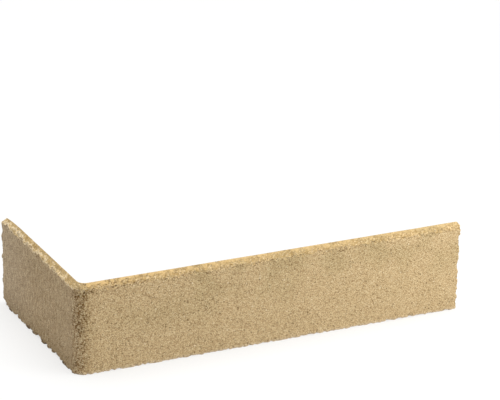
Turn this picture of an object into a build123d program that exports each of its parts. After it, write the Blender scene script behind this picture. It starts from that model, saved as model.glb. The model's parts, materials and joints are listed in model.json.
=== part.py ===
from build123d import *
import os

# Corner brick slip: a thin facing strip of bound quartz sand, moulded round an outside wall corner.
# The long leg runs along X and the short leg along Y. Both show their sanded face to the outside,
# and their plain back lies against the wall.

# Sizes over the whole slip, in millimetres
LONG_LEG = 240.0
SHORT_LEG = 114.0
HEIGHT = 54.0

# Wall of the slip and its bend, the radius being that of the sanded face
THICKNESS = 3.5
BEND_RADIUS = 8.0

# Top edge: a narrow level strip along the back, then a slope that falls to the face
TOP_LEVEL_STRIP = 0.5
TOP_STRIP_RADIUS = 0.4
TOP_SLOPE_DROP = 2.7
TOP_ARRIS_RADIUS = 1.0

# Bottom edge of the face
BOTTOM_ARRIS_RADIUS = 1.2

# Free end of each leg: the upright edge of the face, and the corners seen square on
END_ARRIS_RADIUS = 0.8
END_TOP_RADIUS = 2.0
LONG_END_BOTTOM_RADIUS = 1.4
SHORT_END_BOTTOM_RADIUS = 7.0

# The slip is centred over the origin: here are the face planes and the ends that follow from that
LONG_FACE_Y = -SHORT_LEG / 2
SHORT_FACE_X = -LONG_LEG / 2
LONG_END_X = SHORT_FACE_X + LONG_LEG
SHORT_END_Y = LONG_FACE_Y + SHORT_LEG


def face_line():
    """Line of the sanded face in plan, from the short leg's end round the bend to the long leg's end."""
    bend_start = (SHORT_FACE_X, LONG_FACE_Y + BEND_RADIUS)
    bend_end = (SHORT_FACE_X + BEND_RADIUS, LONG_FACE_Y)
    short_run = Line((SHORT_FACE_X, SHORT_END_Y), bend_start)
    bend = TangentArc(bend_start, bend_end, tangent=(0, -1))
    long_run = Line(bend_end, (LONG_END_X, LONG_FACE_Y))
    return Wire([short_run.edge(), bend.edge(), long_run.edge()])


def edge_section():
    """Section through the wall, with the depth behind the face across and the height upwards."""
    with BuildSketch() as section:
        with BuildLine():
            rounded = FilletPolyline(
                (THICKNESS, HEIGHT),
                (THICKNESS - TOP_LEVEL_STRIP, HEIGHT),
                (0, HEIGHT - TOP_SLOPE_DROP),
                (0, 0),
                (THICKNESS, 0),
                radius=(TOP_STRIP_RADIUS, TOP_ARRIS_RADIUS, BOTTOM_ARRIS_RADIUS),
            )
            Line(rounded @ 1, rounded @ 0)
        make_face()
    return section.sketch


def moulded_strip():
    """The section carried along the face line, so that both edges run unbroken round the bend."""
    short_end = Plane(origin=(SHORT_FACE_X, SHORT_END_Y, 0), x_dir=(1, 0, 0), z_dir=(0, -1, 0))
    return sweep(short_end * edge_section(), path=face_line())


def overall_block():
    """Block of the slip's overall sizes, standing on the floor and centred over the origin."""
    return Box(LONG_LEG, SHORT_LEG, HEIGHT, align=(Align.CENTER, Align.CENTER, Align.MIN))


def with_rounded_arrises(block):
    """Round the block's upright edge at each leg's free end, on the side of the face."""
    upright = block.edges().filter_by(Axis.Z)
    at_free_ends = upright.filter_by(lambda edge: edge.center().X * edge.center().Y < 0)
    return fillet(at_free_ends, END_ARRIS_RADIUS)


def with_rounded_corners(block, end_face, radius, level):
    """Round the corner that a leg's free end shows at one level, right through the wall."""
    edges = block.faces().sort_by(end_face)[-1].edges().group_by(Axis.Z)[level]
    return fillet(edges, radius)


def corner_slip():
    """The strip trimmed by blocks that carry the rounded edges and corners of its free ends."""
    slip = moulded_strip() & with_rounded_arrises(overall_block())
    for end_face, bottom_radius in ((Axis.X, LONG_END_BOTTOM_RADIUS), (Axis.Y, SHORT_END_BOTTOM_RADIUS)):
        block = with_rounded_corners(overall_block(), end_face, END_TOP_RADIUS, -1)
        block = with_rounded_corners(block, end_face, bottom_radius, 0)
        slip = slip & block
    return slip


os.makedirs("parts", exist_ok=True)
export_step(corner_slip().solid(), "parts/corner_slip.step")
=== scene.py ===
# %% [markdown]
# A corner brick slip: a thin strip of quartz sand and resin, moulded round an outside wall corner. The packed
# model gives its size and place. This lesson dresses it with the real surface: sand grains, open pits at the
# bend, worn edges and the tones of the sand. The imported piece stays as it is, and a finer one stands for it.

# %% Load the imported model
import json
import math

import bmesh
import bpy
import numpy as np
from mathutils import Euler, Matrix, Vector


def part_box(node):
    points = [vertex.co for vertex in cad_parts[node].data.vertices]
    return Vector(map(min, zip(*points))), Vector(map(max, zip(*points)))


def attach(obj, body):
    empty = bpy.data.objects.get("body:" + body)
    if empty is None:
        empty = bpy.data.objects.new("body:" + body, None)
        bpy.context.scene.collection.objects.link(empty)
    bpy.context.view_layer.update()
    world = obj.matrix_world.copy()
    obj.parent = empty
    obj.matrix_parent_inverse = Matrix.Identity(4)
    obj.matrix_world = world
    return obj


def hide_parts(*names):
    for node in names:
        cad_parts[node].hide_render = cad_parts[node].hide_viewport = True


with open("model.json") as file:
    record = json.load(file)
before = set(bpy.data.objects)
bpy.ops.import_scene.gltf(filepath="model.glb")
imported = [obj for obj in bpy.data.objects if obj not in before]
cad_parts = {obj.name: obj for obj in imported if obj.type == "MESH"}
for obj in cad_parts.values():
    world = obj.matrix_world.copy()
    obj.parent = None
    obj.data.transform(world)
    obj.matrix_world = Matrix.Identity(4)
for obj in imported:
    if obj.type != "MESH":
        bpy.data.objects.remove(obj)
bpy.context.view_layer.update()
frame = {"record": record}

NODE = "corner_slip"
LOW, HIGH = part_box(NODE)
print("slip box, mm", [round(1000 * x, 2) for x in (*LOW, *HIGH)])

# %% [markdown]
# The real sizes come first. They could be typed in again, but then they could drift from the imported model.
# So the slip's box gives the height, and the mount on its back says how thick the wall is. Other lengths are
# written in millimetres, as a maker writes them, and one factor turns them to metres.

# %% Real sizes
MM = 0.001
MOUNTS = {mount["name"]: mount for mount in frame["record"]["mounts"]}
THICKNESS = MOUNTS["long_leg_back"]["pos_m"][1] - LOW.y
HEIGHT = HIGH.z - LOW.z
print("wall, mm", round(THICKNESS / MM, 3), "height, mm", round(HEIGHT / MM, 2))

# %% [markdown]
# The camera stands where the photographer stood: about 1.8 metres off with a long lens, looking down over
# the bend. It could be placed by eye, but then the slip would lie askew in the picture. So its aim, turn,
# fall and roll were worked out from the slip's outline.

# %% Camera
CAMERA_AIM = Vector((53.3, 84.7, 27.0)) * MM
CAMERA_DISTANCE = 1824 * MM
CAMERA_TURN = math.radians(26.08)
CAMERA_FALL = math.radians(21.46)
CAMERA_ROLL = math.radians(1.18)
CAMERA_LENS = 215.1
SENSOR_WIDTH = 36.0

level = math.radians(90) - CAMERA_FALL
look = Euler((level, 0, -CAMERA_TURN)).to_matrix() @ Matrix.Rotation(CAMERA_ROLL, 3, "Z")
stand = CAMERA_AIM + look @ Vector((0, 0, CAMERA_DISTANCE))
bpy.ops.object.camera_add(location=stand, rotation=look.to_euler())
camera = bpy.context.object
camera.data.lens = CAMERA_LENS
camera.data.sensor_width = SENSOR_WIDTH
bpy.context.scene.camera = camera
print("camera at, mm", [round(x / MM) for x in camera.location])

# %% [markdown]
# Colours are written as sRGB hex values, as a paint chart gives them. Shaders count in linear light, where
# middle grey is a much smaller number, so one function turns every hex value to linear.

# %% Colours


def linear(hex_colour):
    """Linear RGBA of an sRGB hex colour."""
    shares = [int(hex_colour[i:i + 2], 16) / 255 for i in (1, 3, 5)]
    return [s / 12.92 if s <= 0.04045 else ((s + 0.055) / 1.055) ** 2.4 for s in shares] + [1.0]


WHITE = linear("#FFFFFF")
print("middle grey in linear light", round(linear("#808080")[0], 3))

# %% [markdown]
# Materials are built from nodes. Each node could be made, set and linked in lines of its own, which soon
# fills pages. One small function does it in one call, so the lines below read like a list of what the surface
# has. It skips sockets that the node's settings switch off, so a Mix node's A and B are always those in use.

# %% Nodes


def add_node(tree, kind, settings=None, stops=(), **inputs):
    """Add a node with its own settings and a ramp's stops. An input is named, or numbered after a _, and
    takes a value, a socket, or a node, whose first output is then meant."""
    node = tree.nodes.new("ShaderNode" + kind)
    for name, value in (settings or {}).items():
        setattr(node, name, value)
    for number, (position, tint) in enumerate(stops):
        ramp = node.color_ramp.elements
        element = ramp[number] if number < len(ramp) else ramp.new(1.0)
        element.position, element.color = position, linear(tint)
    in_use = [socket for socket in node.inputs if socket.enabled]
    for name, value in inputs.items():
        number = name.strip("_")
        named = [socket for socket in in_use if socket.name == name.replace("_", " ")]
        socket = in_use[int(number)] if number.isdigit() else named[0]
        if isinstance(value, bpy.types.Node):
            value = next(output for output in value.outputs if output.enabled)
        if isinstance(value, bpy.types.NodeSocket):
            tree.links.new(value, socket)
        else:
            socket.default_value = value
    return node


print("kinds of shader node", sum(name.startswith("ShaderNode") for name in dir(bpy.types)))

# %% [markdown]
# Blender gives a new material a plain plastic shader. It could be changed setting by setting, but it is
# clearer to start from an empty tree, where every node is one that the surface needs.

# %% Empty material


def new_material(name):
    """A material whose node tree is still empty, and that tree."""
    material = bpy.data.materials.new(name)
    material.use_nodes = True
    material.node_tree.nodes.clear()
    return material, material.node_tree


print("materials so far", len(bpy.data.materials))

# %% [markdown]
# The slip stands on a wide table. A curved backdrop could close the view, but the camera looks down and sees
# only the table, so a plane is enough, as long as its far edge stays out of sight.

# %% Floor
FLOOR_SIZE = 12.0

bpy.ops.object.select_all(action="DESELECT")
bpy.ops.mesh.primitive_plane_add(size=FLOOR_SIZE, location=(0, 0, LOW.z))
floor = bpy.context.object
floor.name = "pale_floor"
print("floor, m", FLOOR_SIZE)

# %% [markdown]
# The table is a light table: pale matt board with a plain white glow coming through it. Board alone would
# turn grey under soft light. With the glow the ground is as white as in the photograph, the board still takes
# the slip's faint shadow, and some light reaches the foot of the slip from below.

# %% Board of the floor
FLOOR_COLOUR = "#E8E8E6"
FLOOR_ROUGHNESS = 0.9
FLOOR_GLOW = 0.6

board, tree = new_material("pale_board")
card = add_node(tree, "BsdfPrincipled", Base_Color=linear(FLOOR_COLOUR), Roughness=FLOOR_ROUGHNESS,
                Specular_IOR_Level=0.0)
glow = add_node(tree, "Emission", Color=WHITE, Strength=1.0)
surface = add_node(tree, "MixShader", _0=FLOOR_GLOW, _1=card, _2=glow)
add_node(tree, "OutputMaterial", Surface=surface)
floor.data.materials.append(board)
print("floor of", board.name, "with a glow of", FLOOR_GLOW)

# %% [markdown]
# A white room stands around the slip. Its walls could give all the light, but then every side of the slip
# would be equally bright. So the camera sees them plain white, and what they give to the slip is weaker.

# %% White room
ROOM_LEVEL = 0.41
LARGEST = {"operation": "MAXIMUM"}

room = bpy.data.worlds.new("white_room")
bpy.context.scene.world = room
room.use_nodes = True
tree = room.node_tree
tree.nodes.clear()
rays = add_node(tree, "LightPath").outputs
seen = add_node(tree, "Math", LARGEST, _0=rays["Is Camera Ray"], _1=rays["Is Glossy Ray"])
seen = add_node(tree, "Math", LARGEST, _0=seen, _1=rays["Is Transmission Ray"])
strength = add_node(tree, "MapRange", Value=seen, To_Min=ROOM_LEVEL, To_Max=1.0)
background = add_node(tree, "Background", Color=WHITE, Strength=strength)
add_node(tree, "OutputWorld", Surface=background)
print("the room lights the slip at", ROOM_LEVEL)

# %% [markdown]
# The main light is wide and soft and comes from straight above, so the top slope is the brightest part. A
# large area lamp would do. A sun lamp with a very wide disc gives the same soft shadow and needs no aiming.

# %% Light overhead
OVERHEAD_LEVEL = 2.65
OVERHEAD_WIDTH = math.radians(70)

bpy.ops.object.light_add(type="SUN", location=(0, 0, 1))
overhead = bpy.context.object
overhead.name = "overhead_light"
overhead.data.energy = OVERHEAD_LEVEL
overhead.data.angle = OVERHEAD_WIDTH
print("overhead light, degrees wide", round(math.degrees(OVERHEAD_WIDTH)))

# %% [markdown]
# A small softbox stands in front of the long leg, out towards its free end. It makes this leg brighter at
# that end and leaves the short leg in half shade. A second sun would light the leg evenly from end to end. An
# area lamp that stands near falls off along it, as in the photograph. The Standard view transform shows all
# colours as they are written.

# %% Softbox
SOFTBOX_PLACE = Vector((250, -285, 170)) * MM
SOFTBOX_SIZE = 220 * MM
SOFTBOX_POWER = 0.77

face_middle = Vector((0.0, LOW.y, LOW.z + HEIGHT / 2))
facing = (face_middle - SOFTBOX_PLACE).to_track_quat("-Z", "Y").to_euler()
bpy.ops.object.light_add(type="AREA", location=SOFTBOX_PLACE, rotation=facing)
softbox = bpy.context.object
softbox.name = "softbox"
softbox.data.size = SOFTBOX_SIZE
softbox.data.energy = SOFTBOX_POWER
softbox.visible_camera = False
bpy.context.scene.view_settings.view_transform = "Standard"
print("softbox from the face, mm", round((face_middle - SOFTBOX_PLACE).length / MM))

# %% [markdown]
# By hand, a modeller clicks on the corners, edges and faces to shape. In code they could be listed by
# number, but the numbers change with every cut. So they are chosen by where they are: all whose corners
# pass a test.

# %% Choosing parts of a mesh
CLOSE = 0.01 * MM


def near(a, b):
    """Whether two lengths are the same place."""
    return abs(a - b) < CLOSE


def choose(kind, test):
    """Select the vertices, edges or faces of the mesh in hand whose corners pass a test."""
    bpy.ops.mesh.select_mode(type=kind)
    bpy.ops.mesh.select_all(action="DESELECT")
    mesh = bpy.context.object.data
    form = bmesh.from_edit_mesh(mesh)
    for part in {"VERT": form.verts, "EDGE": form.edges, "FACE": form.faces}[kind]:
        if test([part.co] if kind == "VERT" else [corner.co for corner in part.verts]):
            part.select_set(True)
    form.select_flush_mode()
    bmesh.update_edit_mesh(mesh)


print("places closer than this are the same, mm", CLOSE / MM)

# %% [markdown]
# The slip is one moulding: a wall of even thickness with a sloping top edge, carried round a corner. It
# could be cut from blocks, but its edges run on unbroken round the bend, so it is drawn as the mould makes
# it. The wall's section comes first, as a flat sheet at the short leg's free end.

# %% Sheet for the wall
bpy.ops.object.select_all(action="DESELECT")
middle = (LOW.x + THICKNESS / 2, HIGH.y, LOW.z + HEIGHT / 2)
bpy.ops.mesh.primitive_plane_add(size=1, rotation=(math.radians(90), 0, 0), location=middle)
slip = bpy.context.object
slip.name = "sanded_slip"
slip.scale = (THICKNESS, HEIGHT, 1)
bpy.ops.object.transform_apply(location=True, rotation=True, scale=True)
print("sheet, mm", [round(size / MM, 2) for size in slip.dimensions])

# %% [markdown]
# The top edge is a narrow level strip along the back, then a slope down to the face, and the face's own
# edges are rounded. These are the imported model's sizes. The wall could be made square and its long edges
# bevelled later, but here one corner of the sheet stands for a whole edge. The sheet is parted where the
# strip ends, its front corner is lowered to the foot of the slope, and bevels on single corners do the
# rounding. A bevel's offset is measured along the sides: at a square corner it is the radius, and at this
# blunt one it is less.

# %% Slope and rounded edges
TOP_LEVEL_STRIP = 0.5 * MM
TOP_SLOPE_DROP = 2.7 * MM
TOP_ARRIS_RADIUS = 1.0 * MM
BOTTOM_ARRIS_RADIUS = 1.2 * MM
ROUNDING_STEPS = 3
STRIP_X = LOW.x + THICKNESS - TOP_LEVEL_STRIP
SLOPE_ANGLE = math.atan2(THICKNESS - TOP_LEVEL_STRIP, TOP_SLOPE_DROP)
BLUNT_OFFSET = TOP_ARRIS_RADIUS * math.tan(SLOPE_ANGLE / 2)

bpy.ops.object.mode_set(mode="EDIT")
bpy.ops.mesh.select_all(action="SELECT")
bpy.ops.mesh.bisect(plane_co=(STRIP_X, 0, 0), plane_no=(1, 0, 0))
choose("EDGE", lambda ends: all(near(end.x, STRIP_X) for end in ends))
bpy.ops.mesh.dissolve_edges(use_verts=False)
choose("VERT", lambda ends: near(ends[0].x, LOW.x) and near(ends[0].z, HIGH.z))
bpy.ops.transform.translate(value=(0, 0, -TOP_SLOPE_DROP))
bpy.ops.mesh.bevel(offset=BLUNT_OFFSET, segments=ROUNDING_STEPS, affect="VERTICES")
choose("VERT", lambda ends: near(ends[0].x, LOW.x) and near(ends[0].z, LOW.z))
bpy.ops.mesh.bevel(offset=BOTTOM_ARRIS_RADIUS, segments=ROUNDING_STEPS, affect="VERTICES")
print("slope, degrees from upright", round(math.degrees(SLOPE_ANGLE), 1))

# %% [markdown]
# Sand grains are under a millimetre wide. A bump could suggest them, but at the edges they show against the
# ground, so the mesh has grains too. For that the face needs a row about every half millimetre. The plain
# back does with fewer.

# %% Rows for the grains
FACE_CUTS, BACK_CUTS, SLOPE_CUTS, BOTTOM_CUTS = 95, 20, 6, 3


def rise(ends):
    """Height that an edge spans."""
    return abs(ends[0].z - ends[1].z)


choose("EDGE", lambda ends: all(near(end.x, LOW.x) for end in ends) and rise(ends) > HEIGHT / 2)
bpy.ops.mesh.subdivide(number_cuts=FACE_CUTS)
choose("EDGE", lambda ends: all(near(end.x, LOW.x + THICKNESS) for end in ends) and rise(ends) > HEIGHT / 2)
bpy.ops.mesh.subdivide(number_cuts=BACK_CUTS)
choose("EDGE", lambda ends: rise(ends) > TOP_ARRIS_RADIUS and abs(ends[0].x - ends[1].x) > TOP_ARRIS_RADIUS)
bpy.ops.mesh.subdivide(number_cuts=SLOPE_CUTS)
choose("EDGE", lambda ends: all(near(end.z, LOW.z) for end in ends))
bpy.ops.mesh.subdivide(number_cuts=BOTTOM_CUTS)
print("corners of the section", len(bmesh.from_edit_mesh(slip.data).verts))

# %% [markdown]
# Now the sheet travels as the wall does: pushed along the short leg to the bend, spun through a quarter
# turn, and pushed along the long leg. A sweep along a curve would give the same wall, but its twist and its
# corner are harder to control.

# %% Legs and bend
BEND_RADIUS = 8.0 * MM
BEND_CENTRE = Vector((LOW.x + BEND_RADIUS, LOW.y + BEND_RADIUS, LOW.z))
BEND_STEPS = 24

bpy.ops.mesh.select_all(action="SELECT")
bpy.ops.mesh.extrude_region_move(TRANSFORM_OT_translate={"value": (0, BEND_CENTRE.y - HIGH.y, 0)})
bpy.ops.mesh.spin(steps=BEND_STEPS, angle=math.radians(90), center=BEND_CENTRE, axis=(0, 0, -1))
bpy.ops.mesh.extrude_region_move(TRANSFORM_OT_translate={"value": (HIGH.x - BEND_CENTRE.x, 0, 0)})
print("faces before the columns", len(bmesh.from_edit_mesh(slip.data).faces))

# %% [markdown]
# The legs are still single long faces. Their long edges are divided until the columns are as narrow as the
# rows. One pass takes at most a hundred cuts, so each leg is divided twice.

# %% Columns for the grains
SHORT_LEG_CUTS, LONG_LEG_CUTS = (11, 16), (17, 24)


def runs_along(ends, axis):
    """Whether an edge lies along X (0) or Y (1), on the leg that runs that way."""
    step = ends[0] - ends[1]
    straight = near(step.length, abs(step[axis])) and step.length > MM / 2
    past_bend = min(end[axis] for end in ends) > BEND_CENTRE[axis] - CLOSE
    on_leg = max(end[1 - axis] for end in ends) < BEND_CENTRE[1 - axis]
    return straight and past_bend and on_leg


for axis, passes in ((1, SHORT_LEG_CUTS), (0, LONG_LEG_CUTS)):
    for cuts in passes:
        choose("EDGE", lambda ends: runs_along(ends, axis))
        bpy.ops.mesh.subdivide(number_cuts=cuts)
print("faces with the columns", len(bmesh.from_edit_mesh(slip.data).faces))

# %% [markdown]
# Each free end is one large face with many corners, which would stay flat. A grid can't fill it, because the
# face has more rows than the back. So it is split into triangles that reach across the wall, and their long
# edges are divided until the end is as fine as the rest.

# %% Free ends
END_CUTS = 5


def on_end(ends, axis):
    """Whether all corners lie in the free end of the leg along X (0) or Y (1)."""
    return all(near(end[axis], HIGH[axis]) for end in ends)


def crosses_wall(ends, axis):
    """Whether an edge of a free end reaches across more than half the wall."""
    return abs(ends[0][1 - axis] - ends[1][1 - axis]) > THICKNESS / 2


for axis in (0, 1):
    choose("FACE", lambda ends: on_end(ends, axis))
    bpy.ops.mesh.quads_convert_to_tris(ngon_method="BEAUTY")
    choose("EDGE", lambda ends: on_end(ends, axis) and crosses_wall(ends, axis))
    bpy.ops.mesh.subdivide(number_cuts=END_CUTS)
print("faces with the ends", len(bmesh.from_edit_mesh(slip.data).faces))

# %% [markdown]
# A spin can leave faces that point inwards, where the sand would be pressed out instead of in. They could be
# flipped one by one, but Blender can tell the outside of a closed form, so it turns them all. They are shaded
# smooth, so that the sand shows and not the rows of the mesh.

# %% Faces turned outwards
bpy.ops.mesh.select_all(action="SELECT")
bpy.ops.mesh.normals_make_consistent(inside=False)
bpy.ops.mesh.faces_shade_smooth()
bpy.ops.object.mode_set(mode="OBJECT")
print("triangles", sum(len(face.vertices) - 2 for face in slip.data.polygons))

# %% [markdown]
# What follows moves many thousand points, each by a little. Operators would be slow and hard to aim for
# that, so all coordinates are read into one table, worked on at once and put back.

# %% Reading and placing points
mesh = slip.data
count = len(mesh.vertices)


def places():
    """Coordinates of all vertices, one row each."""
    flat = np.empty(3 * count, dtype=np.float32)
    mesh.vertices.foreach_get("co", flat)
    return flat.reshape(-1, 3).astype(float)


def place_all(points):
    """Put all vertices at new coordinates."""
    mesh.vertices.foreach_set("co", points.astype(np.float32).ravel())
    mesh.update()


print("points", count)

# %% [markdown]
# Every later step asks where a point is on the slip as the mould sees it: how far along the face line, how
# deep behind the face, how high. X and Y can't say that on both legs and in the bend. The line starts at the
# middle of the bend, with the short leg on its minus side.

# %% Places on the slip
points = places()
across = points[:, :2] - np.array(BEND_CENTRE)[:2]
turn = np.arctan2(-across[:, 1], -across[:, 0])
on_short, on_long = across[:, 1] > 0, across[:, 0] > 0
half_bend = BEND_RADIUS * math.pi / 4
along = np.select([on_short, on_long], [-across[:, 1] - half_bend, across[:, 0] + half_bend],
                  BEND_RADIUS * (turn - math.pi / 4))
depth = np.select([on_short, on_long], [points[:, 0] - LOW.x, points[:, 1] - LOW.y],
                  BEND_RADIUS - np.hypot(across[:, 0], across[:, 1]))
height = points[:, 2] - LOW.z
from_end = np.where(along < 0, along - along.min(), along.max() - along)
print("face line, mm", round(along.min() / MM, 1), round(along.max() / MM, 1))

# %% [markdown]
# The free ends are softly rounded, seen square on at the top and bottom corners, and in plan along the
# upright edge of the face. Bevels would bring back long thin faces. Here a rounding moves the rows of a
# square corner onto rings about its centre, and the mesh stays as fine as it was.

# %% Rounded ends
END_TOP_RADIUS = 2.0 * MM
END_ARRIS_RADIUS = 0.8 * MM
SHORT_END_BOTTOM_RADIUS = 7.0 * MM
LONG_END_BOTTOM_RADIUS = 1.4 * MM


def rounded(first, second, radius):
    """Distances from the two sides of a square corner, moved to a rounded one."""
    a, b = np.maximum(radius - first, 0), np.maximum(radius - second, 0)
    scale = np.where((a > 0) & (b > 0), np.maximum(a, b) / np.maximum(np.hypot(a, b), CLOSE), 1)
    return np.where(a > 0, radius - a * scale, first), np.where(b > 0, radius - b * scale, second)


end_gap, low_gap = from_end.copy(), height.copy()
for leg, radius in ((along < 0, SHORT_END_BOTTOM_RADIUS), (along > 0, LONG_END_BOTTOM_RADIUS)):
    rounded_end, rounded_low = rounded(end_gap, low_gap, radius)
    end_gap, low_gap = np.where(leg, rounded_end, end_gap), np.where(leg, rounded_low, low_gap)
end_gap, high_gap = rounded(end_gap, HEIGHT - low_gap, END_TOP_RADIUS)
end_gap, new_depth = rounded(end_gap, depth, END_ARRIS_RADIUS)
new_height = HEIGHT - high_gap
print("most that an end is rounded back, mm", round((end_gap - from_end).max() / MM, 2))

# %% [markdown]
# The free ends lean in a little towards the foot, because a mould has draft to let the slip out, and the
# short leg's end sank a little while it was soft. Tilting the end faces would leave a line where the tilt
# starts, so both fade out along the leg.

# %% Draft and droop
SHORT_END_DRAFT, LONG_END_DRAFT, DRAFT_REACH = 1.5 * MM, 0.8 * MM, 25 * MM
DROOP, DROOP_REACH = 1.5 * MM, 26 * MM


def fade(value, start, end):
    """Smooth step from 0 at start to 1 at end."""
    part = np.clip((value - start) / (end - start), 0, 1)
    return part * part * (3 - 2 * part)


draft = np.where(along < 0, SHORT_END_DRAFT, LONG_END_DRAFT) * (1 - new_height / HEIGHT)
end_gap = end_gap + draft * (1 - fade(from_end, 0, DRAFT_REACH))
droop = np.where(along < 0, DROOP, 0) * (1 - np.clip(from_end / DROOP_REACH, 0, 1)) ** 2
new_height = new_height - droop * new_height / HEIGHT
print("most draft and droop, mm", round(draft.max() / MM, 2), round(droop.max() / MM, 2))

# %% [markdown]
# The new distances are turned back to X, Y and Z. On the long leg the end lies along X and the depth along
# Y, and on the short leg the other way round. In the bend only the height can have changed.

# %% Ends put in place
inward, deeper = end_gap - from_end, new_depth - depth
points[:, 0] += np.where(on_long, -inward, 0) + np.where(on_short, deeper, 0)
points[:, 1] += np.where(on_short, -inward, 0) + np.where(on_long, deeper, 0)
points[:, 2] += new_height - height
place_all(points)
print("box now, mm", [round(x / MM, 2) for x in (*points.min(0), *points.max(0))])

# %% [markdown]
# Sand is pressed well against the mould's flat faces and less well into its bend and edges. So the flat
# faces are even, the bend has open pits, which are densest high up, and the edges are ragged. Each of these
# could be painted on by brush. Weights worked out from the places do the same and come out alike every time.

# %% Where the faces are rough
SLOPE_FOOT_HEIGHT = HEIGHT - TOP_SLOPE_DROP
SAND_THINS, SAND_ENDS = 0.9 * MM, 0.1 * MM
PITS_MIDDLE, PITS_REACH = 0.5 * MM, 6.5 * MM
PITS_SPARSE_HEIGHT, PITS_DENSE_HEIGHT, PITS_SPARSE_SHARE = 14 * MM, 36 * MM, 0.65
PITS_FADE = 1 * MM

off_back = 1 - fade(depth, THICKNESS - SAND_THINS, THICKNESS - SAND_ENDS)
sanded = np.maximum(off_back, fade(height, SLOPE_FOOT_HEIGHT, HEIGHT))
bend_band = np.exp(-np.square((along - PITS_MIDDLE) / PITS_REACH))
high_on_bend = fade(height, PITS_SPARSE_HEIGHT, PITS_DENSE_HEIGHT)
denser_high_up = PITS_SPARSE_SHARE + (1 - PITS_SPARSE_SHARE) * high_on_bend
below_slope = 1 - fade(height, SLOPE_FOOT_HEIGHT - PITS_FADE, SLOPE_FOOT_HEIGHT + PITS_FADE)
bend_pits = bend_band * denser_high_up * off_back * below_slope
print("share of points at the bend", round(float(np.mean(bend_pits > 0.1)), 3))

# %% [markdown]
# One weight could serve every edge, but each crumbled in its own way, so they get weights of their own: the
# foot of the face, where the short leg is chipped and the long leg only ragged, the foot of the top slope,
# and the upright edges of the free ends.

# %% Where the edges are rough
EDGE_START, LOW_EDGE_REACH, END_EDGE_REACH = 0.2 * MM, 3.0 * MM, 2.5 * MM
HIGH_EDGE_DROP, HIGH_EDGE_REACH = 0.3 * MM, 1.3 * MM
LEGS_MEET = 8 * MM

above_slope_foot = height - SLOPE_FOOT_HEIGHT
low_edge = (1 - fade(height, EDGE_START, LOW_EDGE_REACH)) * off_back
high_edge = np.exp(-np.square((above_slope_foot + HIGH_EDGE_DROP) / HIGH_EDGE_REACH)) * off_back
end_edge = (1 - fade(from_end, EDGE_START, END_EDGE_REACH)) * off_back
on_long_side = fade(along, -LEGS_MEET, LEGS_MEET)
print("points of the edges", [int(np.count_nonzero(edge > 0.1)) for edge in (low_edge, high_edge, end_edge)])

# %% [markdown]
# The tables could move the points directly, but the patterns that do it are textures in modifiers. A modifier
# can't read a table, while it can read a vertex group, so each table becomes one.

# %% Vertex groups
LEAST_WEIGHT = 0.01
WEIGHTS = {
    "sanded": sanded,
    "bend": bend_pits,
    "short_low_edge": low_edge * (1 - on_long_side),
    "long_low_edge": low_edge * on_long_side,
    "high_edge": high_edge,
    "end_edge": end_edge,
    "all": np.ones(count),
}
for name, weights in WEIGHTS.items():
    group = slip.vertex_groups.new(name=name)
    for index in np.nonzero(weights > LEAST_WEIGHT)[0]:
        group.add([int(index)], float(weights[index]), "REPLACE")
    print(name, "points", int(np.count_nonzero(weights > LEAST_WEIGHT)))

# %% [markdown]
# A Displace modifier moves the surface by a texture. It could push out as well as in, but a mould only lacks
# sand, never has too much, and the slip has to keep its size. So it always presses in. Each texture is as
# coarse as the real feature is wide.

# %% Pressing a pattern in


def press_in(name, group, kind, width, deep, **settings):
    """Sink the surface by up to a depth, in a pattern of features of a given width."""
    texture = bpy.data.textures.new(name, kind)
    texture.noise_scale = width
    for key, value in settings.items():
        setattr(texture, key, value)
    press = slip.modifiers.new(name, "DISPLACE")
    press.texture = texture
    press.texture_coords = "LOCAL"
    press.vertex_group = group
    press.mid_level = 0.0
    press.strength = -deep
    bpy.ops.object.modifier_apply(modifier=name)


bpy.ops.object.select_all(action="DESELECT")
slip.select_set(True)
bpy.context.view_layer.objects.active = slip
print("in hand", bpy.context.object.name)

# %% [markdown]
# The widest unevenness is that of the mould itself: waves some centimetres long and a fraction of a
# millimetre deep. Left out, the flat faces would look machined. Soft noise gives them, and it comes first, so
# that wear and grains lie on the waves.

# %% Waves of the mould
press_in("mould_waves", "sanded", "CLOUDS", width=28 * MM, deep=0.2 * MM, noise_depth=1)
whole = places()
print("waves, mm deep", round(np.linalg.norm(whole - points, axis=1).max() / MM, 2))

# %% [markdown]
# The edges crumbled when the slip left the mould. They could be cut chip by chip, but noise as wide as the
# chips, let through at the edge alone, wears it just as unevenly. The short leg's foot lost whole chips, so
# it has cell noise, and notches between the cells. The long leg's foot and the foot of the top slope are only
# ragged. How far each point was worn is kept, because worn places are darker. The upright ends come after
# that: they are ragged too, but no darker.

# %% Worn edges
press_in("chipped_short_edge", "short_low_edge", "CLOUDS", width=4.5 * MM, deep=1.2 * MM,
         noise_basis="CELL_NOISE", noise_depth=0, contrast=3.0, intensity=0.35)
press_in("notched_short_edge", "short_low_edge", "CLOUDS", width=2.6 * MM, deep=1.0 * MM,
         noise_depth=1, contrast=3.0, intensity=0.7)
press_in("ragged_long_edge", "long_low_edge", "CLOUDS", width=2.4 * MM, deep=1.0 * MM,
         noise_depth=2, contrast=2.5, intensity=0.45)
press_in("ragged_high_edge", "high_edge", "CLOUDS", width=2.4 * MM, deep=0.9 * MM,
         noise_depth=2, contrast=2.5, intensity=0.75)
worn = np.linalg.norm(places() - whole, axis=1)
press_in("ragged_ends", "end_edge", "CLOUDS", width=3.4 * MM, deep=1.0 * MM,
         noise_depth=2, contrast=2.5, intensity=0.75)
print("worn, mm: most", round(worn.max() / MM, 2))

# %% [markdown]
# Last come the sand itself, clotted and in single grains, the pits of the bend and the faint unevenness that
# the smooth back has too. Soft noise would make dunes, so grains and pits use a pattern of cells. Real grains
# are half a millimetre wide. Those in the mesh are drawn nearly twice as wide, because finer ones wouldn't
# show in it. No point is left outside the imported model's box.

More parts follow.
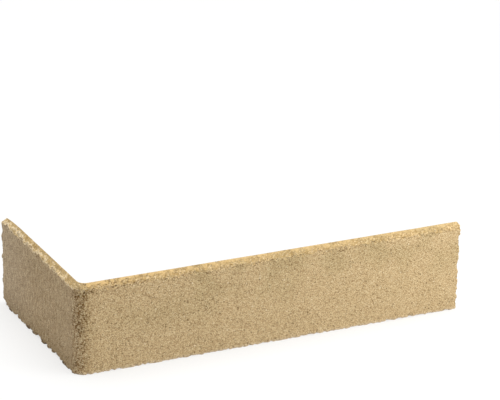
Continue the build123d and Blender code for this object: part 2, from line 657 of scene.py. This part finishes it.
# %% Grains and pits
before = places()
press_in("sand_clots", "sanded", "CLOUDS", width=3.2 * MM, deep=0.02 * MM, noise_depth=2)
press_in("bend_pits", "bend", "VORONOI", width=1.2 * MM, deep=0.5 * MM)
press_in("grains", "sanded", "VORONOI", width=0.9 * MM, deep=0.09 * MM)
press_in("cast_skin", "all", "CLOUDS", width=1.5 * MM, deep=0.03 * MM)
after = np.clip(places(), np.array(LOW), np.array(HIGH))
place_all(after)
sunk = np.linalg.norm(after - before, axis=1)
print("sunk, mm: mean", round(sunk.mean() / MM, 2), "most", round(sunk.max() / MM, 2))

# %% [markdown]
# The material has to know where it is. It could guess that from heights, but at ragged edges the guess would
# be wrong. So the mesh tells it: how deep each point was pressed in and worn, and whether it lies at the
# bend, on the back or on the short leg. The groups have done their work and go.

# %% Attributes for the material
ATTRIBUTES = {
    "sunk": sunk / MM,
    "worn": worn / MM,
    "bend": bend_pits,
    "back": 1 - sanded,
    "short_leg": 1 - fade(along, -half_bend, half_bend),
}
slip.vertex_groups.clear()
for name, values in ATTRIBUTES.items():
    attribute = mesh.attributes.new(name, "FLOAT", "POINT")
    attribute.data.foreach_set("value", values.astype(np.float32))
print("attributes", list(ATTRIBUTES))

# %% [markdown]
# The material is quartz sand bound with resin. The sand was strewn over the wet face and pressed, so grains
# of many tints lie side by side. Hardly any resin shows, so it is matt. A picture of sand would repeat and
# stretch at the bend, so the sand is worked out from each point's place on the object. Layers of marks are
# then laid over it with a few ways to mix and to reckon, which get short names here.

# %% Quartz sand bound with resin
MULTIPLY = {"data_type": "RGBA", "blend_type": "MULTIPLY"}
BLEND = {"data_type": "RGBA", "blend_type": "MIX"}
LIGHTEN_BY = {"data_type": "RGBA", "blend_type": "ADD"}
NUMBERS = {"data_type": "FLOAT"}
TIMES = {"operation": "MULTIPLY", "use_clamp": True}
MINUS = {"operation": "SUBTRACT", "use_clamp": True}
PLAIN_PLUS = {"operation": "ADD"}
PLAIN_MINUS = {"operation": "SUBTRACT"}

sand, tree = new_material("resin_bound_quartz_sand")
place = add_node(tree, "TexCoord").outputs["Object"]
axes = add_node(tree, "SeparateXYZ", Vector=place).outputs
upright = axes["Z"]
outward = add_node(tree, "MapRange", Value=axes["X"], From_Min=LOW.x, From_Max=HIGH.x)
depth_pressed, depth_worn, bend, back, short_leg = (
    add_node(tree, "Attribute", {"attribute_name": name}).outputs["Fac"] for name in ATTRIBUTES)
print("material", sand.name, "nodes", len(tree.nodes))

# %% [markdown]
# One cell of the pattern is one grain, half a millimetre wide as in the real sand. Soft noise would run the
# grains together, while each cell has one random number for its tint: most grains are tan, and the rest run
# from brown to ivory.

# %% Sand grains
GRAIN = 0.5 * MM

grains = add_node(tree, "TexVoronoi", Vector=place, Scale=1 / GRAIN)
grain_pick = add_node(tree, "SeparateColor", Color=grains.outputs["Color"])
tints = add_node(tree, "ValToRGB", Fac=grain_pick, stops=[
    (0.0, "#7C6848"), (0.12, "#B3986F"), (0.5, "#CCB287"), (0.88, "#DBC69C"), (1.0, "#E4D2AD")])
print("grains to a centimetre", round(10 * MM / GRAIN))

# %% [markdown]
# The long leg got a film of fine sand over the grains, thicker towards its free end, which evens out their
# tints. Finer grains would be too small to show, so an even tan is blended in. Painted shade for the gaps
# between the grains is laid over the film: far from a cell's middle there is a gap, and the colour is darkened
# there as shade falls between the grains.

# %% Fine sand and painted shade in the gaps
film = add_node(tree, "MapRange", Value=outward, To_Min=0.18, To_Max=0.42)
film = add_node(tree, "Math", MINUS, _0=film, _1=short_leg)
colour = add_node(tree, "Mix", BLEND, Factor=film, A=tints, B=linear("#CAB186"))
# Painted shade: the colour darkens far from a grain's middle, where shade falls between the grains.
gap_shade = add_node(tree, "MapRange", Value=grains.outputs["Distance"], From_Min=0.35, From_Max=0.85, To_Max=0.7)
colour = add_node(tree, "Mix", MULTIPLY, Factor=gap_shade, A=colour, B=linear("#9C8562"))
print("nodes with the film and the gaps", len(tree.nodes))

# %% [markdown]
# Over the grains lie the wider marks. Thin grey-green clouds come from damp sand and are strongest high on
# the long leg. They could be brushed on, but soft noise near two centimetres wide has their shape, and it
# covers every side without a seam.

# %% Damp clouds
CLOUD_WIDTH = 18 * MM

clouds = add_node(tree, "TexNoise", Vector=place, Scale=1 / CLOUD_WIDTH, Detail=1.0)
cloud_share = add_node(tree, "MapRange", Value=clouds, From_Min=0.42, From_Max=0.62)
high_up = add_node(tree, "MapRange", Value=upright, From_Min=0.3 * HEIGHT, From_Max=HEIGHT,
                   To_Min=0.1, To_Max=0.8)
on_long_leg = add_node(tree, "MapRange", Value=short_leg, To_Min=1.0, To_Max=0.3)
damp = add_node(tree, "Math", TIMES, _0=cloud_share, _1=high_up)
damp = add_node(tree, "Math", TIMES, _0=damp, _1=on_long_leg)
colour = add_node(tree, "Mix", MULTIPLY, Factor=damp, A=colour, B=linear("#E9EBE4"))
print("clouds, mm wide", round(CLOUD_WIDTH / MM, 1))

# %% [markdown]
# Faint upright streaks show where the sand ran down the mould of the short leg. Waves could draw them, but
# they would be evenly spaced. The same soft noise, drawn out along Z by a Mapping node, is as uneven as they
# are.

# %% Streaks
STREAK_WIDTH = 1.5 * MM
STREAK_STRETCH = 0.4

drawn_down = add_node(tree, "Mapping", Vector=place, Scale=(1.0, 1.0, STREAK_STRETCH))
streaks = add_node(tree, "TexNoise", Vector=drawn_down, Scale=1 / STREAK_WIDTH, Detail=1.0)
streak_share = add_node(tree, "MapRange", Value=streaks, From_Min=0.4, From_Max=0.65)
streak_level = add_node(tree, "MapRange", Value=short_leg, To_Min=0.1, To_Max=0.8)
streak_share = add_node(tree, "Math", TIMES, _0=streak_share, _1=streak_level)
colour = add_node(tree, "Mix", MULTIPLY, Factor=streak_share, A=colour, B=linear("#D8D3CA"))
print("streaks, mm wide and long", round(STREAK_WIDTH / MM, 1), round(STREAK_WIDTH / STREAK_STRETCH / MM, 1))

# %% [markdown]
# Painted light makes the short leg a little lighter towards its free end, where more of the room's and the
# floor's light reaches it. The foot of this leg is darker, away from the bend, while painted light makes the
# very foot of the long leg lighter, as light from the floor falls on it. None of the three has an edge that
# shows, so each is a plain fade over the place, with no pattern in it.

# %% Painted light and a darker foot
DARK_FOOT_HEIGHT, PALE_FOOT_HEIGHT = 14 * MM, 2 * MM

# Painted light: the short leg is lighter towards its free end, where more of the room's and the floor's light
# reaches it.
free_end_light = add_node(tree, "MapRange", Value=axes["Y"], From_Max=HIGH.y, To_Max=0.05)
free_end_light = add_node(tree, "Math", TIMES, _0=free_end_light, _1=short_leg)
colour = add_node(tree, "Mix", LIGHTEN_BY, Factor=free_end_light, A=colour, B=WHITE)
# The foot of the short leg is darker towards the bottom, away from the bend.
foot = add_node(tree, "MapRange", Value=upright, From_Min=LOW.z, From_Max=LOW.z + DARK_FOOT_HEIGHT,
                To_Min=1.0, To_Max=0.0)
off_bend = add_node(tree, "MapRange", Value=short_leg, From_Min=0.6, From_Max=1.0)
foot = add_node(tree, "Math", TIMES, _0=foot, _1=off_bend)
colour = add_node(tree, "Mix", MULTIPLY, Factor=foot, A=colour, B=linear("#E0DCD2"))
# Painted light: the very foot of the long leg is lighter, as light from the floor falls on it.
painted_foot_light = add_node(tree, "MapRange", Value=upright, From_Min=LOW.z, From_Max=LOW.z + PALE_FOOT_HEIGHT,
                     To_Min=0.12, To_Max=0.0)
painted_foot_light = add_node(tree, "Math", TIMES, _0=painted_foot_light, _1=on_long_leg)
colour = add_node(tree, "Mix", LIGHTEN_BY, Factor=painted_foot_light, A=colour, B=WHITE)
print("nodes with the wide marks", len(tree.nodes))

# %% [markdown]
# Some grains are much darker or paler than their neighbours: iron-stained sand and clear quartz. The grains'
# own ramp could hold them, but it would set them too close together. So they lie one to a cell of a wider
# pattern, and only in the cells that a random number picks.

# %% Specks
SPECK_SPACING = 2.2 * MM

specks = add_node(tree, "TexVoronoi", Vector=place, Scale=1 / SPECK_SPACING)
speck_pick = add_node(tree, "SeparateColor", Color=specks.outputs["Color"])
speck_spot = add_node(tree, "MapRange", Value=specks.outputs["Distance"], From_Min=0.16, From_Max=0.28,
                      To_Min=1.0, To_Max=0.0)
for none, full, share, tint in ((0.76, 0.80, 0.8, "#6F5B3A"), (0.05, 0.03, 0.45, "#EBDCBC")):
    chosen = add_node(tree, "MapRange", Value=speck_pick, From_Min=none, From_Max=full, To_Max=share)
    speck = add_node(tree, "Math", TIMES, _0=speck_spot, _1=chosen)
    colour = add_node(tree, "Mix", BLEND, Factor=speck, A=colour, B=linear(tint))
print("specks, mm apart", round(SPECK_SPACING / MM, 1))

# %% [markdown]
# At the bend the sand didn't pack, and between coarse pale grains there are small open pits. They look dark
# because little light gets in. The mesh has them, but it is too coarse to shade their bottoms, so the
# material darkens the gaps between coarse grains, in patches, and each point by how deep it was pressed.

# %% Open pits
COARSE_GRAIN, PATCH_WIDTH = 1.2 * MM, 1.8 * MM

coarse = add_node(tree, "TexVoronoi", Vector=place, Scale=1 / COARSE_GRAIN)
open_gap = add_node(tree, "MapRange", Value=coarse.outputs["Distance"], From_Min=0.38, From_Max=0.62)
patches = add_node(tree, "TexNoise", Vector=place, Scale=1 / PATCH_WIDTH, Detail=1.0)
patch_share = add_node(tree, "MapRange", Value=patches, From_Min=0.40, From_Max=0.56)
bend_share = add_node(tree, "MapRange", Value=bend, From_Min=0.05, From_Max=0.85)
pits = add_node(tree, "Math", TIMES, _0=open_gap, _1=patch_share)
pits = add_node(tree, "Math", TIMES, _0=pits, _1=bend_share)
colour = add_node(tree, "Mix", MULTIPLY, Factor=pits, A=colour, B=linear("#A78F68"))
depth_shade = add_node(tree, "MapRange", Value=depth_pressed, From_Min=0.3, From_Max=1.6)
colour = add_node(tree, "Mix", MULTIPLY, Factor=depth_shade, A=colour, B=linear("#7A6646"))
print("pits between grains of, mm", round(COARSE_GRAIN / MM, 1))

# %% [markdown]
# Along the top slope the mould's lip left paler, yellower sand, down to a wandering line. A straight line at
# one height would look painted, so noise, drawn out along both legs, lifts and lowers the height that the line
# is drawn at. Below the lip the short leg is tinted a little cooler as painted shade, for the cool half shade
# it stands in.

# %% Lip of the mould and painted shade below it
WANDER_WIDTH, WANDER_REACH = 2.0 * MM, 1.5 * MM
WANDER_STRETCH = (0.7, 0.35, 1.0)
SLOPE_FOOT = HIGH.z - TOP_SLOPE_DROP
LIP_STARTS, LIP_WHOLE = SLOPE_FOOT - 1.3 * MM, SLOPE_FOOT - 0.5 * MM

drawn_along = add_node(tree, "Mapping", Vector=place, Scale=WANDER_STRETCH)
wander = add_node(tree, "TexNoise", Vector=drawn_along, Scale=1 / WANDER_WIDTH, Detail=2.0)
wander = add_node(tree, "MapRange", Value=wander, From_Min=0.35, From_Max=0.65,
                  To_Min=-WANDER_REACH, To_Max=WANDER_REACH)
lip_height = add_node(tree, "Math", PLAIN_PLUS, _0=upright, _1=wander)
lip = add_node(tree, "MapRange", Value=lip_height, From_Min=LIP_STARTS, From_Max=LIP_WHOLE)
lip = add_node(tree, "Math", MINUS, _0=lip, _1=back)
# Painted shade: the short leg below the lip is tinted cooler, for its half shade.
short_leg_cool_shade = add_node(tree, "Math", MINUS, _0=short_leg, _1=lip)
colour = add_node(tree, "Mix", MULTIPLY, Factor=short_leg_cool_shade, A=colour, B=linear("#F3F5FF"))
print("lip, mm high", round((HIGH.z - LIP_WHOLE) / MM, 1), "to", round((HIGH.z - LIP_STARTS) / MM, 1))

# %% [markdown]
# Across the lip the tone changes from its foot to the back: pale crumbs, then tan, and on the long leg a
# bright line at the very edge. Bands of their own would need a mask each. Two ramps over the height of the
# slope do all of it, one for each leg, and the short leg's share mixes them.

# %% Tones across the lip
TONES_START = SLOPE_FOOT - 1.1 * MM

up_slope = add_node(tree, "MapRange", Value=lip_height, From_Min=TONES_START, From_Max=HIGH.z)
short_tint = add_node(tree, "ValToRGB", Fac=up_slope, stops=[
    (0.2, "#FFFFFA"), (0.45, "#FBF5E5"), (0.65, "#D4C9AE"), (0.9, "#D6CAAC")])
long_tint = add_node(tree, "ValToRGB", Fac=up_slope, stops=[
    (0.25, "#F9F3E3"), (0.5, "#DCD2BA"), (0.75, "#D6CBB4"), (0.95, "#FAEFD6")])
slope_tint = add_node(tree, "Mix", BLEND, Factor=short_leg, A=long_tint, B=short_tint)
print("nodes with the tones of the lip", len(tree.nodes))

# %% [markdown]
# The lip's sand is the sand below it, bleached, more so on the short leg and less towards the long leg's free
# end. It could have tints of its own, but then its grains wouldn't run on from the face, so a warm white is
# added to what is there. Loose lumps about a millimetre wide lie on it, paler in the middle than at the rim.

# %% Bleached sand and lumps
LUMP_WIDTH = 1.1 * MM

bleached = add_node(tree, "MapRange", Value=short_leg, To_Min=0.255, To_Max=0.37)
less_bleached = add_node(tree, "MapRange", Value=outward, To_Max=0.065)
bleached = add_node(tree, "Math", MINUS, _0=bleached, _1=less_bleached)
lip_sand = add_node(tree, "Mix", LIGHTEN_BY, Factor=bleached, A=colour, B=linear("#FFF9EA"))
lip_sand = add_node(tree, "Mix", MULTIPLY, Factor=1.0, A=lip_sand, B=slope_tint)
lumps = add_node(tree, "TexVoronoi", Vector=place, Scale=1 / LUMP_WIDTH)
lump_tone = add_node(tree, "ValToRGB", stops=[(0.2, "#FFFFFF"), (0.8, "#DCD2BA")], Fac=lumps)
lip_sand = add_node(tree, "Mix", MULTIPLY, Factor=1.0, A=lip_sand, B=lump_tone)
print("lumps, mm wide", round(LUMP_WIDTH / MM, 1))

# %% [markdown]
# The inner part of the long leg's lip was rubbed smoother by the rim of the mould. Smaller grains would still
# look rough there, so an even tint is blended over them, golden near the bend and greyer at the free end. The
# share is kept, because the bump has to be weaker there too.

# %% Rubbed part of the lip
rubbed = add_node(tree, "MapRange", Value=up_slope, From_Min=0.5, From_Max=0.8, To_Max=0.55)
rubbed = add_node(tree, "Math", MINUS, _0=rubbed, _1=short_leg)
rubbed_tint = add_node(tree, "Mix", BLEND, Factor=outward, A=linear("#D2B178"), B=linear("#B9A377"))
lip_sand = add_node(tree, "Mix", BLEND, Factor=rubbed, A=lip_sand, B=rubbed_tint)
colour = add_node(tree, "Mix", BLEND, Factor=lip, A=colour, B=lip_sand)
print("nodes with the whole lip", len(tree.nodes))

# %% [markdown]
# Just under the long leg's lip, the lip casts a painted shadow onto the face, broken into dark nicks and fewer
# towards the free end. Near the bend the lip itself crumbles, about halfway up the slope. Both are patches of
# one fine noise, let through where the painted shadow under the lip or the crumbling part is.

# %% Painted shadow and nicks under the lip
NICK_WIDTH = 1.1 * MM
LIP_SHADOW_STARTS, LIP_SHADOW_WHOLE = SLOPE_FOOT - 2.2 * MM, SLOPE_FOOT - 1.4 * MM

# Painted shadow: a band just under the long leg's lip, where the lip shades the face.
lip_shadow = add_node(tree, "MapRange", Value=lip_height, From_Min=LIP_SHADOW_STARTS, From_Max=LIP_SHADOW_WHOLE)
lip_shadow = add_node(tree, "Math", MINUS, _0=lip_shadow, _1=lip)
fewer = add_node(tree, "MapRange", Value=outward, To_Min=1.0, To_Max=0.5)
lip_shadow = add_node(tree, "Math", TIMES, _0=lip_shadow, _1=fewer)
halfway_up = add_node(tree, "ValToRGB", Fac=up_slope, stops=[
    (0.25, "#000000"), (0.45, "#FFFFFF"), (0.62, "#FFFFFF"), (0.78, "#000000")])
crumbling = add_node(tree, "Math", TIMES, _0=halfway_up, _1=lip)
near_bend = add_node(tree, "MapRange", Value=outward, From_Min=0.05, From_Max=0.4, To_Min=0.6, To_Max=0.0)
crumbling = add_node(tree, "Math", TIMES, _0=crumbling, _1=near_bend)
# From here the mask holds the painted shadow under the lip as well as the crumbling part.
crumbling = add_node(tree, "Math", LARGEST, _0=crumbling, _1=lip_shadow)
crumbling = add_node(tree, "Math", MINUS, _0=crumbling, _1=short_leg)
nicks = add_node(tree, "TexNoise", Vector=place, Scale=1 / NICK_WIDTH, Detail=1.0)
nick_and_shadow_share = add_node(tree, "MapRange", Value=nicks, From_Min=0.5, From_Max=0.6)
nick_and_shadow_share = add_node(tree, "Math", TIMES, _0=nick_and_shadow_share, _1=crumbling)
# Painted shadow under the long leg's lip, and dark nicks where the lip crumbles near the bend.
colour = add_node(tree, "Mix", MULTIPLY, Factor=nick_and_shadow_share, A=colour, B=linear("#8E7854"))
print("nicks, mm wide", round(NICK_WIDTH / MM, 1))

# %% [markdown]
# Where an edge broke away it is darker. A band at the edge's height would darken whole grains too, so the
# depth to which each point was worn says how much darker it gets.

# %% Worn places
worn_shade = add_node(tree, "MapRange", Value=depth_worn, From_Min=0.3, From_Max=1.6, To_Max=0.5)
colour = add_node(tree, "Mix", MULTIPLY, Factor=worn_shade, A=colour, B=linear("#94805C"))
print("nodes with the worn places", len(tree.nodes))

# %% [markdown]
# The back lay on a smooth belt while it cured. There the resin rose between the grains, so it is evener and
# a little darker, with pinholes where air was trapped. It could be a material of its own, but then a hard
# line would part it from the sanded edge, so it is blended over the sand by the back's own share.

# %% Back
BELT_MARK_WIDTH, SKIN_GRAIN, PINHOLE_SPACING = 7 * MM, 0.8 * MM, 3.5 * MM
BELT_SHARE = 0.75

mottle = add_node(tree, "TexNoise", Vector=place, Scale=1 / BELT_MARK_WIDTH, Detail=4.0)
belt = add_node(tree, "ValToRGB", stops=[(0.3, "#B59C74"), (0.7, "#C5AE86")], Fac=mottle)
skin = add_node(tree, "TexNoise", Vector=place, Scale=1 / SKIN_GRAIN, Detail=2.0)
skin_tone = add_node(tree, "ValToRGB", stops=[(0.3, "#E0DBD0"), (0.7, "#FFFFFF")], Fac=skin)
belt = add_node(tree, "Mix", MULTIPLY, Factor=1.0, A=belt, B=skin_tone)
pinholes = add_node(tree, "TexVoronoi", Vector=place, Scale=1 / PINHOLE_SPACING)
hole = add_node(tree, "MapRange", Value=pinholes.outputs["Distance"], From_Min=0.08, From_Max=0.14,
                To_Min=1.0, To_Max=0.0)
belt = add_node(tree, "Mix", MULTIPLY, Factor=hole, A=belt, B=linear("#8C7650"))
belt_share = add_node(tree, "Math", TIMES, _0=back, _1=BELT_SHARE)
colour = add_node(tree, "Mix", BLEND, Factor=belt_share, A=colour, B=belt)
print("pinholes, mm apart", round(PINHOLE_SPACING / MM, 1))

# %% [markdown]
# A bump rounds each grain, because the mesh is too coarse for grains of half a millimetre, and sinks the
# pits. It is a little weaker where fine sand covers the long leg, weaker again where the lip is rubbed, and
# nearly gone on the smooth back.

# %% Rounded grains
GRAIN_RISE = 0.35 * MM
BACK_LIFT = 0.15

mound = add_node(tree, "Math", PLAIN_MINUS, _0=1.0, _1=grains.outputs["Distance"])
mound = add_node(tree, "Math", PLAIN_MINUS, _0=mound, _1=pits)
lift = add_node(tree, "MapRange", Value=outward, To_Min=0.6, To_Max=0.5)
lift = add_node(tree, "Mix", NUMBERS, Factor=rubbed, A=lift, B=0.0)
lift = add_node(tree, "Mix", NUMBERS, Factor=back, A=lift, B=BACK_LIFT)
bump = add_node(tree, "Bump", Strength=lift, Distance=GRAIN_RISE, Height=mound)
print("grains rise by, mm", round(GRAIN_RISE / MM, 2))

# %% [markdown]
# Broken quartz in hardened resin scatters light all ways: it bends light as quartz does, is rough, and its
# gloss is below that of plain plastic. So the surface looks dry and chalky from every side.

# %% Finish of the sand
QUARTZ_IOR = 1.54
ROUGHNESS = 0.95
GLOSS = 0.25

surface = add_node(tree, "BsdfPrincipled", Base_Color=colour, Normal=bump, Roughness=ROUGHNESS,
                   IOR=QUARTZ_IOR, Specular_IOR_Level=GLOSS)
add_node(tree, "OutputMaterial", Surface=surface)
mesh.materials.clear()
mesh.materials.append(sand)
print("nodes of the finished sand", len(tree.nodes))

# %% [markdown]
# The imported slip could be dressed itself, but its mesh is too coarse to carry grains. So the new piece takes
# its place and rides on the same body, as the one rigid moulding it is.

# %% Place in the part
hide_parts(NODE)
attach(slip, "root")
print("box of the slip, mm", [round(x / MM, 2) for x in (*after.min(0), *after.max(0))])

# %% [markdown]
# The slip has to keep its real size. The box of the imported model and the box of the dressed one are both
# printed, so that they can be compared.

# %% Finish
print("the dressed slip stands in for the imported one")
